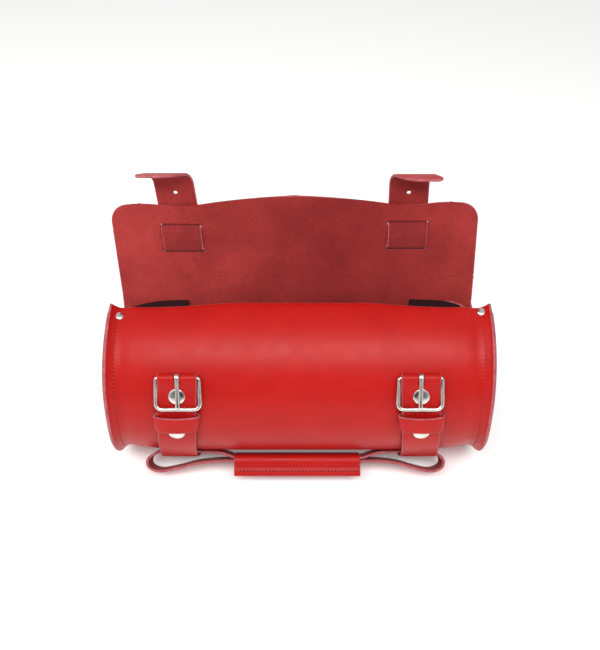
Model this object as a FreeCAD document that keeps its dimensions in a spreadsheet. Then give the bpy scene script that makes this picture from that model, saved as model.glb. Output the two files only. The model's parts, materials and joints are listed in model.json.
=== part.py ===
"""Barrel-shaped leather bag with an open flap, two buckled belts and a looped handle.

Frame: +Z up, +X along the barrel, the bag's front faces -Y. The origin is on the floor, in the
middle of the footprint. Angles round the barrel are measured at its axis, from the front (0) up
over the top (90) to the back (180).
"""
import FreeCAD, Part
import Sketcher
import math
import os
import re

V = FreeCAD.Vector

os.makedirs("parts", exist_ok=True)
doc = FreeCAD.newDocument("barrel_bag")

# Driving dimensions: millimetres, and degrees where the name says angle.
DIMENSIONS = {
    "barrel_length": 290,
    "barrel_radius": 72.5,
    "flat_depth": 70,
    "leather": 2.5,
    "axis_back": 3.3,
    "front_edge_angle": 85,
    "hinge_angle": 90,
    "seam_end_angle": 134,
    "rim_width": 14,
    "ear_length": 43,
    "ear_low_angle": 68,
    "ear_high_angle": 93,
    "thread": 0.7,
    "thread_inset": 7,
    "rivet_inset": 6.5,
    "belt_leather": 2.0,
    "belt_width": 28,
    "belt_place": 90,
    "bar_angle": 36,
    "bar_lift": 3.9,
    "wire_radius": 1.5,
    "foot_angle": 18.5,
    "foot_lift": 6.8,
    "prong_radius": 1.1,
    "keeper_low_angle": 3.4,
    "keeper_sweep_angle": 9.5,
    "keeper_leather": 1.8,
    "keeper_lift": 0.3,
    "keeper_height": 8.8,
    "keeper_room": 0.8,
    "flap_width": 270,
    "flap_start": 2.6,
    "flap_lean_angle": 20,
    "flap_fold": 30,
    "flap_length": 70,
    "flap_corner": 9,
    "strap_start": 5.5,
    "slit_low": 34.9,
    "slit_high": 53.1,
    "tip_length": 26,
    "tip_hole": 8,
    "handle_angle": -45,
    "handle_leather": 2.2,
    "handle_width": 20,
    "grip_length": 105,
}

sheet = doc.addObject("Spreadsheet::Sheet", "Dimensions")
for row, (name, value) in enumerate(DIMENSIONS.items(), start=1):
    sheet.set("A%d" % row, name)
    sheet.set("B%d" % row, str(value))
    sheet.setAlias("B%d" % row, name)
doc.recompute()


def cell(name):
    """The value that the sheet holds under a name."""
    return float(sheet.get(name))


def bound(expression):
    """An expression in which each dimension's name points at the sheet."""
    return re.sub("[a-z_]+", lambda word: "Dimensions." + word.group(), expression)


AXIS_HEIGHT = "flat_depth + belt_leather"
AXIS_Z = cell("flat_depth") + cell("belt_leather")
AXIS_Y = cell("axis_back")
CLEAR = 0.1
SIDES = {"left": -1, "right": 1}
parts = []

# A primitive's own z turns to +X, and its x to +Y.
ALONG_BARREL = FreeCAD.Rotation(V(1, 1, 1), 120)


def outward(angle):
    """The unit direction from the barrel's axis at an angle round it."""
    return V(0, -math.cos(math.radians(angle)), math.sin(math.radians(angle)))


def upward(angle):
    """The unit direction round the barrel at an angle, towards larger angles."""
    return V(0, math.sin(math.radians(angle)), math.cos(math.radians(angle)))


def around(angle, radius, x=0):
    """The point at an angle and a distance from the barrel's axis."""
    return V(x, AXIS_Y, AXIS_Z) + outward(angle) * radius


def keep(obj, label):
    """List a finished sub-part under the name of its file."""
    obj.Label = label
    parts.append(obj)
    return obj


# --- Primitives bound to the sheet ---------------------------------------------------------------

def lay_along_barrel(obj, x_start, last_angle=180):
    """Lay a primitive along the barrel's axis, its own angle 0 at last_angle round the barrel."""
    turn = ALONG_BARREL.multiply(FreeCAD.Rotation(V(0, 0, 1), 180 - last_angle))
    obj.Placement = FreeCAD.Placement(V(0, 0, 0), turn)
    obj.setExpression("Placement.Base.x", bound(x_start))
    obj.setExpression("Placement.Base.y", bound("axis_back"))
    obj.setExpression("Placement.Base.z", bound(AXIS_HEIGHT))


def barrel_solid(name, offset, x_start, length):
    """A solid barrel with a flat underside, its skin moved outward by offset."""
    round_solid = doc.addObject("Part::Cylinder", name + "_round")
    round_solid.setExpression("Radius", bound("barrel_radius + " + offset))
    round_solid.setExpression("Height", bound(length))
    lay_along_barrel(round_solid, x_start)
    above_floor = doc.addObject("Part::Box", name + "_above")
    above_floor.setExpression("Length", bound(length))
    above_floor.setExpression("Width", bound("4 * barrel_radius"))
    above_floor.setExpression("Height", bound("4 * barrel_radius"))
    above_floor.setExpression("Placement.Base.x", bound(x_start))
    above_floor.setExpression("Placement.Base.y", bound("axis_back - 2 * barrel_radius"))
    above_floor.setExpression("Placement.Base.z", bound(f"{AXIS_HEIGHT} - flat_depth - ( {offset} )"))
    flat_solid = doc.addObject("Part::MultiCommon", name)
    flat_solid.Shapes = [round_solid, above_floor]
    return flat_solid


def sector(name, radius, x_start, length, last_angle, sweep):
    """A wedge of a cylinder that ends at last_angle and spans sweep degrees before it."""
    wedge = doc.addObject("Part::Cylinder", name)
    wedge.setExpression("Radius", bound(radius))
    wedge.setExpression("Height", bound(length))
    wedge.setExpression("Angle", bound(sweep))
    lay_along_barrel(wedge, x_start, last_angle)
    return wedge


def cut(name, base, tool):
    """The base with the tool taken out of it."""
    result = doc.addObject("Part::Cut", name)
    result.Base = base
    result.Tool = tool
    return result


def fixed_solid(name, shape, placement=None):
    """A solid whose shape is worked out here from the sheet."""
    obj = doc.addObject("Part::Feature", name)
    obj.Shape = shape
    if placement is not None:
        obj.Placement = placement
    return obj


def radial_pin(angle, x, radius, low, high):
    """A round pin along a radius of the barrel, between two distances from the axis."""
    return Part.makeCylinder(radius, high - low, around(angle, low, x), outward(angle))


# --- Fasteners ------------------------------------------------------------------------------------

def domed_rivet(angle, x, seat, inner_face, cap_radius, cap_height, shank_radius):
    """A rivet through leather: a domed cap on the seat, and a shank that ends at the inner face."""
    ball_radius = (cap_radius ** 2 + cap_height ** 2) / (2 * cap_height)
    ball_centre = around(angle, seat + cap_height - ball_radius, x)
    cap = Part.makeSphere(ball_radius, ball_centre).common(
        radial_pin(angle, x, cap_radius, seat, seat + cap_height + 1))
    shank = radial_pin(angle, x, shank_radius, inner_face, seat)
    return cap.fuse(shank)


LOWER_RIVET_ANGLE = 0.3
UPPER_RIVET_ANGLE = 24
CORNER_RIVET_ANGLE = 76
STRAP_CAP_RADIUS = 6.2
STRAP_CAP_HEIGHT = 0.9
STRAP_SHANK_RADIUS = 1.4
CORNER_CAP_RADIUS = 3.6
CORNER_CAP_HEIGHT = 1.2
CORNER_SHANK_RADIUS = 1.2
PIN_REACH = 12

barrel_radius = cell("barrel_radius")
leather = cell("leather")
rivet_x = cell("barrel_length") / 2 - cell("rivet_inset")
belt_x = cell("belt_place")


def corner_holes():
    """Pins that clear the corner rivets' shanks."""
    return [radial_pin(CORNER_RIVET_ANGLE, side * rivet_x, CORNER_SHANK_RADIUS,
                       barrel_radius - PIN_REACH, barrel_radius + PIN_REACH) for side in SIDES.values()]


def lower_rivet_holes():
    """Pins that clear the lower strap rivets' shanks."""
    return [radial_pin(LOWER_RIVET_ANGLE, side * belt_x, STRAP_SHANK_RADIUS,
                       barrel_radius - PIN_REACH, barrel_radius + PIN_REACH) for side in SIDES.values()]


# --- Barrel ---------------------------------------------------------------------------------------

def mouth_notch(name, side_name, side):
    """The space beside the flap, where the rim stops short of the mouth behind it."""
    reach = "(barrel_length - flap_width) / 2"
    start = "-barrel_length / 2 - 1"
    if side > 0:
        start = "flap_width / 2"
    return sector(name + "_notch_" + side_name, "2 * barrel_radius", start, reach + " + 1",
                  cell("seam_end_angle"), "seam_end_angle - front_edge_angle")


def make_body_shell():
    """The rolled sheet, open between the front edge and the flap's hinge."""
    outside = barrel_solid("shell_outside", "0", "-barrel_length / 2", "barrel_length")
    inside = barrel_solid("shell_inside", "0 - leather", "-barrel_length / 2 - 1", "barrel_length + 2")
    tube = cut("shell_tube", outside, inside)
    mouth = sector("shell_mouth", "2 * barrel_radius", "-barrel_length / 2 - 1",
                   "barrel_length + 2", cell("hinge_angle"), "hinge_angle - front_edge_angle")
    open_tube = cut("shell_open", tube, mouth)
    for side_name, side in SIDES.items():
        open_tube = cut("shell_notched_" + side_name, open_tube, mouth_notch("shell", side_name, side))
    holes = fixed_solid("shell_holes", Part.makeCompound(corner_holes() + lower_rivet_holes()))
    keep(cut("body_shell", open_tube, holes), "body_shell")


def make_end_panel(side_name, side):
    """A disc set into the barrel's end, with its edge turned outward along the shell."""
    name = "end_panel_" + side_name
    edge_start = "-barrel_length / 2"
    hollow_start = "-barrel_length / 2 - leather"
    if side > 0:
        edge_start = "barrel_length / 2 - rim_width"
        hollow_start = "barrel_length / 2 - rim_width + leather"
    block = barrel_solid(name + "_block", "0 - leather", edge_start, "rim_width")
    hollow = barrel_solid(name + "_hollow", "0 - 2 * leather", hollow_start, "rim_width")
    dish = cut(name + "_dish", block, hollow)
    dish = cut(name + "_notched", dish, mouth_notch(name, side_name, side))
    holes = fixed_solid(name + "_hole", Part.makeCompound(corner_holes()))
    keep(cut(name, dish, holes), name)


def make_ear(side_name, side):
    """A curved tab inside the front panel's top edge, reaching over the opening's end."""
    name = "ear_" + side_name
    start = "-barrel_length / 2 + rim_width"
    if side > 0:
        start = "barrel_length / 2 - rim_width - ear_length"
    wedge = sector(name + "_wedge", "barrel_radius - leather", start, "ear_length",
                   cell("ear_high_angle"), "ear_high_angle - ear_low_angle")
    core = sector(name + "_core", "barrel_radius - 2 * leather", start, "ear_length",
                  180, "360")
    keep(cut(name, wedge, core), name)


def make_end_seam(side_name, side):
    """The raised line of thread round the barrel's end."""
    name = "end_seam_" + side_name
    start = "-barrel_length / 2 + thread_inset - thread / 2"
    if side > 0:
        start = "barrel_length / 2 - thread_inset - thread / 2"
    outside = barrel_solid(name + "_outside", "thread / 2", start, "thread")
    inside = barrel_solid(name + "_inside", "0", start + " - 1", "thread + 2")
    ring = cut(name + "_ring", outside, inside)
    gap_angle = 16
    mouth = sector(name + "_mouth", "2 * barrel_radius", start + " - 1", "thread + 2",
                   cell("seam_end_angle"), f"seam_end_angle - front_edge_angle + {gap_angle}")
    keep(cut(name, ring, mouth), name)


def make_corner_rivets():
    """Two small rivets at the front panel's top corners."""
    rivets = [domed_rivet(CORNER_RIVET_ANGLE, side * rivet_x, barrel_radius,
                          barrel_radius - 2 * leather, CORNER_CAP_RADIUS, CORNER_CAP_HEIGHT,
                          CORNER_SHANK_RADIUS) for side in SIDES.values()]
    keep(fixed_solid("corner_rivets", Part.makeCompound(rivets)), "corner_rivets")


# --- Belts ----------------------------------------------------------------------------------------

# The lifted front length of a belt: angle round the barrel, and the gap beneath the leather. It
# rises over the handle strap, passes the keeper and the rivets, and ends over the buckle's bar.
BELT_RISE = [
    (-62, 0.0), (-58.5, 2.4), (-55, 3.8), (-45, 3.8), (-33, 3.4), (-15, 2.7), (0, 2.6),
    (14, 2.55), (22, 2.55), (28, 2.8), (32, 4.1),
]
BELT_BACK_ANGLE = -262
RETURN_END_ANGLE = 16.5


def belt_outline():
    """The closed outline of a belt, seen along the barrel's axis."""
    thick = cell("belt_leather")
    flat = cell("flat_depth")
    bar_angle = cell("bar_angle")
    bar_lift = cell("bar_lift")
    hole = cell("wire_radius") + CLEAR

    def arc(start, end, offset):
        middle = (start + end) / 2
        radius = barrel_radius + offset
        return Part.Arc(around(start, radius), around(middle, radius), around(end, radius)).toShape()

    def lower_run(offset):
        corner = math.degrees(math.asin((flat + offset) / (barrel_radius + offset)))
        radius = barrel_radius + offset
        return [
            arc(BELT_BACK_ANGLE, corner - 180, offset),
            Part.makeLine(around(corner - 180, radius), around(-corner, radius)),
            arc(-corner, BELT_RISE[0][0], offset),
        ]

    def front_run(offset):
        rise = BELT_RISE + [(bar_angle, bar_lift + hole)]
        points = [around(angle, barrel_radius + gap + offset) for angle, gap in rise]
        curve = Part.BSplineCurve()
        curve.interpolate(points)
        return [curve.toShape()]

    bar = around(bar_angle, barrel_radius + bar_lift)
    low = barrel_radius + bar_lift - hole - thick

    def fold(radius):
        out = outward(bar_angle) * radius
        return Part.Arc(bar + out, bar + upward(bar_angle) * radius, bar - out).toShape()

    edges = lower_run(0) + front_run(0) + [fold(hole)]
    edges += [
        arc(bar_angle, RETURN_END_ANGLE, low + thick - barrel_radius),
        Part.makeLine(around(RETURN_END_ANGLE, low + thick), around(RETURN_END_ANGLE, low)),
        arc(RETURN_END_ANGLE, bar_angle, low - barrel_radius),
        fold(hole + thick),
    ]
    edges += front_run(thick) + lower_run(thick)
    edges.append(Part.makeLine(around(BELT_BACK_ANGLE, barrel_radius + thick),
                               around(BELT_BACK_ANGLE, barrel_radius)))
    return Part.Wire(Part.sortEdges(edges)[0])


def make_belt(side_name, side):
    """A strap from the buckle's bar, down the front, under the barrel and up its back."""
    name = "belt_" + side_name
    width = cell("belt_width")
    solid = Part.Face(belt_outline()).extrude(V(width, 0, 0))
    solid.translate(V(side * belt_x - width / 2, 0, 0))
    slot_width = 5.4
    slot_down = 10.5
    slot_up = 6
    slot_depth = 12
    slot = Part.makeBox(slot_width, slot_down + slot_up, slot_depth,
                        V(-slot_width / 2, -slot_down, -slot_depth / 2))
    bar_angle = cell("bar_angle")
    bar = around(bar_angle, barrel_radius + cell("bar_lift"), side * belt_x)
    slot.Placement = FreeCAD.Placement(
        bar, FreeCAD.Rotation(V(1, 0, 0), upward(bar_angle), outward(bar_angle) * -1, "XYZ"))
    upper_hole = radial_pin(UPPER_RIVET_ANGLE, side * belt_x, STRAP_SHANK_RADIUS,
                            barrel_radius - 2, barrel_radius + PIN_REACH)
    solid = solid.cut(Part.makeCompound([slot, upper_hole] + lower_rivet_holes()))
    keep(fixed_solid(name, solid), name)


def belt_face(angle):
    """The distance from the axis to a belt's outer face, where a rivet's cap sits on it."""
    lower, upper = max(p for p in BELT_RISE if p[0] <= angle), min(p for p in BELT_RISE if p[0] > angle)
    share = (angle - lower[0]) / (upper[0] - lower[0])
    gap = lower[1] + share * (upper[1] - lower[1])
    return barrel_radius + gap + cell("belt_leather") + 2 * CLEAR


def make_strap_rivets():
    """The upper rivets close the belts' folds, and the lower rivets hold the belts on the shell."""
    rivets = []
    for side in SIDES.values():
        ends = [(UPPER_RIVET_ANGLE, barrel_radius + CLEAR), (LOWER_RIVET_ANGLE, barrel_radius - leather)]
        for angle, inner_face in ends:
            rivets.append(domed_rivet(angle, side * belt_x, belt_face(angle), inner_face,
                                      STRAP_CAP_RADIUS, STRAP_CAP_HEIGHT, STRAP_SHANK_RADIUS))
    keep(fixed_solid("strap_rivets", Part.makeCompound(rivets)), "strap_rivets")


# --- Buckles --------------------------------------------------------------------------------------

BAR = around(cell("bar_angle"), barrel_radius + cell("bar_lift"))
FRAME_RISE = BAR - around(cell("foot_angle"), barrel_radius + cell("foot_lift"))
FRAME_DROP = FRAME_RISE.Length


def buckle_placement(side):
    """The bar's middle, with local y up the frame and local z away from the barrel."""
    turn = FreeCAD.Rotation(V(1, 0, 0), FRAME_RISE, V(1, 0, 0).cross(FRAME_RISE), "XYZ")
    return FreeCAD.Placement(BAR + V(side * belt_x, 0, 0), turn)


def rounded_corners(corners, radii):
    """A closed run of lines and arcs through the corners, starting halfway along the last side."""
    geometry = []
    middle = (corners[-1] + corners[0]) * 0.5
    last = middle
    count = len(corners)
    for index, (corner, radius) in enumerate(zip(corners, radii)):
        before = (corners[index - 1] - corner).normalize()
        after = (corners[(index + 1) % count] - corner).normalize()
        half = before.getAngle(after) / 2
        reach = radius / math.tan(half)
        bisector = (before + after).normalize()
        centre = corner + bisector * (radius / math.sin(half))
        start = corner + before * reach
        end = corner + after * reach
        geometry.append(Part.LineSegment(last, start))
        geometry.append(Part.Arc(start, centre - bisector * radius, end))
        last = end
    geometry.append(Part.LineSegment(last, middle))
    return geometry


def origin_plane(body, role):
    """One of a body's own origin planes."""
    return next(plane for plane in body.Origin.OriginFeatures if plane.Role == role)


def plane_sketch(body, name, role, geometry):
    """A sketch on one of the body's origin planes."""
    sketch = body.newObject("Sketcher::SketchObject", name)
    sketch.AttachmentSupport = (origin_plane(body, role), [""])
    sketch.MapMode = "FlatFace"
    sketch.addGeometry(geometry, False)
    return sketch


def circle(radius, x=0, y=0):
    """A circle in a sketch."""
    return Part.Circle(V(x, y, 0), V(0, 0, 1), radius)


def make_buckle_frame(side_name, side):
    """A wire frame: the bar on top, slightly wider at the bottom."""
    name = "buckle_frame_" + side_name
    body = doc.addObject("PartDesign::Body", name)
    side_room = 0.2
    flare = 0.6
    top_corner = 2.2
    bottom_corner = 5
    half_top = cell("belt_width") / 2 + cell("wire_radius") + side_room
    half_bottom = half_top + flare
    corners = [V(half_top, 0, 0), V(half_bottom, -FRAME_DROP, 0),
               V(-half_bottom, -FRAME_DROP, 0), V(-half_top, 0, 0)]
    radii = [top_corner, bottom_corner, bottom_corner, top_corner]
    path = plane_sketch(body, name + "_path", "XY_Plane", rounded_corners(corners, radii))
    section = plane_sketch(body, name + "_section", "YZ_Plane", [circle(cell("wire_radius"))])
    radius_index = section.addConstraint(Sketcher.Constraint("Radius", 0, cell("wire_radius")))
    section.setExpression("Constraints[%d]" % radius_index, bound("wire_radius"))
    pipe = body.newObject("PartDesign::AdditivePipe", name + "_wire")
    pipe.Profile = section
    pipe.Spine = (path, [])
    body.Tip = pipe
    body.Placement = buckle_placement(side)
    keep(body, name)


def make_prong(side_name, side):
    """A tongue curled round the bar, its end on the bottom wire."""
    name = "prong_" + side_name
    ring_outer = 3.2
    ring_width = 3.6
    radius = cell("prong_radius")
    start = V(0, -1.75, 2.35)
    end = V(0, -FRAME_DROP - 1.0, cell("wire_radius") + radius + CLEAR / 2)
    tip_length = 1.2
    sideways = V(1, 0, 0)
    origin = V(-ring_width / 2, 0, 0)
    ring = Part.makeCylinder(ring_outer, ring_width, origin, sideways)
    shaft = Part.makeCylinder(radius, (end - start).Length, start, end - start)
    tip = Part.makeCone(radius, radius / 2, tip_length, end, end - start)
    ring = ring.cut(Part.makeCylinder(cell("wire_radius") + CLEAR, ring_width, origin, sideways))
    solid = ring.fuse([shaft, tip]).removeSplitter()
    keep(fixed_solid(name, solid, buckle_placement(side)), name)


def make_keeper(side_name, side):
    """A closed leather loop round the belt, with room for the strap's tip."""
    name = "keeper_" + side_name
    last_angle = cell("keeper_low_angle") + cell("keeper_sweep_angle")
    inside_width = "belt_width + keeper_room"
    middle = f"{side} * belt_place"

    def block(label, low, high, width):
        start = f"{middle} - ( {width} ) / 2"
        outer = sector(f"{name}_{label}_outer", "barrel_radius + " + high, start, width,
                       last_angle, "keeper_sweep_angle")
        inner = sector(f"{name}_{label}_inner", "barrel_radius + " + low, start + " - 1",
                       width + " + 2", 180, "360")
        return cut(f"{name}_{label}", outer, inner)

    outside = block("outside", "keeper_lift", "keeper_height", f"{inside_width} + 2 * keeper_leather")
    inside = block("inside", "keeper_lift + keeper_leather", "keeper_height - keeper_leather", inside_width)
    keep(cut(name, outside, inside), name)


# --- Flap -----------------------------------------------------------------------------------------

FLAP_LEAN = cell("flap_lean_angle")
FLAP_ALONG = V(0, math.sin(math.radians(FLAP_LEAN)), math.cos(math.radians(FLAP_LEAN)))
FLAP_PLACEMENT = FreeCAD.Placement(
    around(cell("hinge_angle"), barrel_radius),
    FreeCAD.Rotation(V(1, 0, 0), FLAP_ALONG, V(1, 0, 0).cross(FLAP_ALONG), "XYZ"))
STRAP_GAP = 0.05
SEGMENT_GAP = 0.1
FOLD_GAP = 0.4


def polygon(points):
    """The closed run of lines through the points."""
    vectors = [V(x, y, 0) for x, y in points]
    return [Part.LineSegment(a, b) for a, b in zip(vectors, vectors[1:] + vectors[:1])]


def flap_sheet(name, outline, slits):
    """A flat length of the flap. Its flesh side is the local plane z = 0."""
    body = doc.addObject("PartDesign::Body", name)
    outline_sketch = plane_sketch(body, name + "_outline", "XY_Plane", outline)
    pad = body.newObject("PartDesign::Pad", name + "_pad")
    pad.Profile = outline_sketch
    pad.setExpression("Length", bound("leather"))
    pad.Reversed = True
    body.Tip = pad
    if slits:
        slit_sketch = plane_sketch(body, name + "_slits", "XY_Plane", slits)
        pocket = body.newObject("PartDesign::Pocket", name + "_pocket")
        pocket.Profile = slit_sketch
        pocket.Type = 1
        pocket.Midplane = True
        body.Tip = pocket
    body.Placement = FLAP_PLACEMENT
    keep(body, name)


def make_flap():
    """The flap in two lengths, which meet edge to edge at the fold."""
    half = cell("flap_width") / 2
    start = cell("flap_start")
    fold = cell("flap_fold")
    end = cell("flap_length")
    corner = cell("flap_corner")
    flap_sheet("flap_back", polygon([(-half, start), (half, start), (half, fold), (-half, fold)]), [])
    corners = [V(half, fold + FOLD_GAP, 0), V(half, end, 0), V(-half, end, 0),
               V(-half, fold + FOLD_GAP, 0)]
    sharp = 0.5
    outline = rounded_corners(corners, [sharp, corner, corner, sharp])
    slit_room = 0.4
    slit_half = cell("belt_width") / 2 + slit_room
    slits = []
    for side in SIDES.values():
        for low in (cell("slit_low"), cell("slit_high")):
            high = low + cell("belt_leather") + 2 * CLEAR
            left = side * belt_x - slit_half
            right = side * belt_x + slit_half
            slits += polygon([(left, low), (right, low), (right, high), (left, high)])
    flap_sheet("flap_front", outline, slits)


def strap_profile(name, side, points):
    """A length of strap: its profile in local y (along) and z, padded across the belt's width."""
    body = doc.addObject("PartDesign::Body", name)
    sketch = plane_sketch(body, name + "_profile", "YZ_Plane", polygon(points))
    pad = body.newObject("PartDesign::Pad", name + "_pad")
    pad.Profile = sketch
    pad.setExpression("Length", bound("belt_width"))
    pad.Midplane = True
    body.Tip = pad
    place = FreeCAD.Placement(FLAP_PLACEMENT)
    place.Base = place.Base + V(side * belt_x, 0, 0)
    body.Placement = place
    return body


def make_flap_straps(side_name, side):
    """The strap behind the flap, through its two slits, and its free tip."""
    thick = cell("belt_leather")
    back_near = -leather - STRAP_GAP
    back_far = back_near - thick
    front_near = STRAP_GAP
    front_far = front_near + thick
    low = cell("slit_low") + CLEAR
    high = cell("slit_high") + CLEAR
    fold = cell("flap_fold")
    end = cell("flap_length")
    start = cell("strap_start")
    lower_name = "flap_strap_lower_" + side_name
    keep(strap_profile(lower_name, side, [
        (start, back_near), (fold - FOLD_GAP, back_near), (fold - FOLD_GAP, back_far),
        (start, back_far)]), lower_name)
    upper_name = "flap_strap_upper_" + side_name
    keep(strap_profile(upper_name, side, [
        (fold + FOLD_GAP, back_far), (low + thick, back_far), (low + thick, front_near),
        (high, front_near), (high, back_far), (end, back_far), (end, back_near),
        (high + thick, back_near), (high + thick, front_far), (low, front_far),
        (low, back_near), (fold + FOLD_GAP, back_near)]), upper_name)
    tip_name = "strap_tip_" + side_name
    tip_start = end + SEGMENT_GAP
    tip_end = tip_start + cell("tip_length")
    tip = strap_profile(tip_name, side, [
        (tip_start, back_near), (tip_end, back_near), (tip_end, back_far), (tip_start, back_far)])
    hole_radius = 2.2
    hole = circle(hole_radius, 0, end + cell("tip_hole"))
    hole_sketch = plane_sketch(tip, tip_name + "_hole", "XY_Plane", [hole])
    pocket = tip.newObject("PartDesign::Pocket", tip_name + "_pocket")
    pocket.Profile = hole_sketch
    pocket.Type = 1
    pocket.Midplane = True
    tip.Tip = pocket
    keep(tip, tip_name)


# --- Handle ---------------------------------------------------------------------------------------

HANDLE_ANGLE = cell("handle_angle")
HANDLE_OUT = outward(HANDLE_ANGLE)
# Local y runs out from the barrel's axis, and local z along the strap's width.
HANDLE_PLACEMENT = FreeCAD.Placement(
    V(0, AXIS_Y, AXIS_Z), FreeCAD.Rotation(V(1, 0, 0), HANDLE_OUT, V(1, 0, 0).cross(HANDLE_OUT), "XYZ"))

# The middle of the handle strap, on the left: distance along the barrel and from its axis. It
# starts inside the grip, runs out past the belt, loops back beneath it and runs to the middle.
HANDLE_ROUTE = [
    (-36, 81.85), (-44, 81.85), (-53, 81.85), (-66, 82.4), (-84, 84.6), (-101, 88.2), (-115, 89.9),
    (-123.5, 86.6), (-124.5, 80.5), (-119, 76.2), (-111, 74.3), (-101, 74.0), (-88, 74.0),
    (-75, 74.1), (-66, 75.8), (-58, 78.3), (-51, 79.1), (-42, 79.1), (-28, 79.1),
]


def side_curve(points):
    """A smooth curve through points given as vectors."""
    curve = Part.BSplineCurve()
    curve.interpolate(points)
    return curve


def make_handle_strap():
    """One strip whose two ends return into the grip, outside its middle length."""
    right = [(-x, y) for x, y in reversed(HANDLE_ROUTE)]
    width = cell("handle_width")
    middle_line = side_curve([V(x, y, -width / 2) for x, y in HANDLE_ROUTE + [(0, 79.1)] + right])
    half = cell("handle_leather") / 2
    steps = 120
    first, last = middle_line.FirstParameter, middle_line.LastParameter
    edges = []
    for sign in (1, -1):
        points = []
        for step in range(steps + 1):
            parameter = first + (last - first) * step / steps
            tangent = V(*middle_line.tangent(parameter)[0])
            normal = V(-tangent.y, tangent.x, 0)
            points.append(middle_line.value(parameter) + normal * (sign * half))
        edges.append(side_curve(points).toShape())
    outer, inner = edges
    ends = [Part.makeLine(outer.Vertexes[index].Point, inner.Vertexes[index].Point) for index in (0, -1)]
    face = Part.Face(Part.Wire(Part.sortEdges([outer, inner] + ends)[0]))
    solid = face.extrude(V(0, 0, width))
    keep(fixed_solid("handle_strap", solid, HANDLE_PLACEMENT), "handle_strap")


GRIP_NEAR = 76
GRIP_FAR = 85.2
GRIP_EDGE = 95
GRIP_HALF_DEPTH = 12.2
FLANGE_DEPTH = 4.2
HOLLOW_NEAR = 77.9
HOLLOW_FAR = 83.2
HOLLOW_HALF_DEPTH = 10.1
STITCH_LINE = 91


def make_grip():
    """A sleeve folded round the handle strap, its stitched edges standing out as a flange."""
    body = doc.addObject("PartDesign::Body", "grip")
    flange_back = -GRIP_HALF_DEPTH + FLANGE_DEPTH
    outline = [V(GRIP_NEAR, -GRIP_HALF_DEPTH, 0), V(GRIP_EDGE, -GRIP_HALF_DEPTH, 0),
               V(GRIP_EDGE, flange_back, 0), V(GRIP_FAR, flange_back, 0),
               V(GRIP_FAR, GRIP_HALF_DEPTH, 0), V(GRIP_NEAR, GRIP_HALF_DEPTH, 0)]
    geometry = rounded_corners(outline, [3, 1, 1, 0.5, 3, 3])
    geometry += polygon([(HOLLOW_NEAR, -HOLLOW_HALF_DEPTH), (HOLLOW_FAR, -HOLLOW_HALF_DEPTH),
                         (HOLLOW_FAR, HOLLOW_HALF_DEPTH), (HOLLOW_NEAR, HOLLOW_HALF_DEPTH)])
    sketch = plane_sketch(body, "grip_section", "YZ_Plane", geometry)
    pad = body.newObject("PartDesign::Pad", "grip_pad")
    pad.Profile = sketch
    pad.setExpression("Length", bound("grip_length"))
    pad.Midplane = True
    body.Tip = pad
    body.Placement = HANDLE_PLACEMENT
    keep(body, "grip")


def make_grip_stitching():
    """A line of thread on each face of the grip's flange."""
    end_gap = 3
    length = cell("grip_length") - 2 * end_gap
    width = cell("thread")
    depth = width / 2
    lines = [Part.makeBox(length, width, depth, V(-length / 2, STITCH_LINE - width / 2, face))
             for face in (-GRIP_HALF_DEPTH - depth, -GRIP_HALF_DEPTH + FLANGE_DEPTH)]
    keep(fixed_solid("grip_stitching", Part.makeCompound(lines), HANDLE_PLACEMENT), "grip_stitching")


# --- Assembly -------------------------------------------------------------------------------------

make_body_shell()
make_corner_rivets()
make_strap_rivets()
make_flap()
make_handle_strap()
make_grip()
make_grip_stitching()
for each_name, each_side in SIDES.items():
    make_end_panel(each_name, each_side)
    make_ear(each_name, each_side)
    make_end_seam(each_name, each_side)
    make_belt(each_name, each_side)
    make_buckle_frame(each_name, each_side)
    make_prong(each_name, each_side)
    make_keeper(each_name, each_side)
    make_flap_straps(each_name, each_side)
doc.recompute()

for item in doc.Objects:
    if "Invalid" in item.State or "Error" in item.State:
        raise RuntimeError(f"{item.Label} did not build: {item.State}")
for part in parts:
    if part.Shape.isNull() or not part.Shape.isValid():
        raise RuntimeError(f"{part.Label} has no valid shape")
for part in parts:
    part.Shape.exportStep(f"parts/{part.Label}.step")
    box = part.Shape.BoundBox
    print(f"{part.Label}: {len(part.Shape.Solids)} solids, {part.Shape.Volume:.0f} mm3, "
          f"x {box.XMin:.1f}..{box.XMax:.1f} y {box.YMin:.1f}..{box.YMax:.1f} "
          f"z {box.ZMin:.1f}..{box.ZMax:.1f}")
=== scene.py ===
import json
import math

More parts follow.
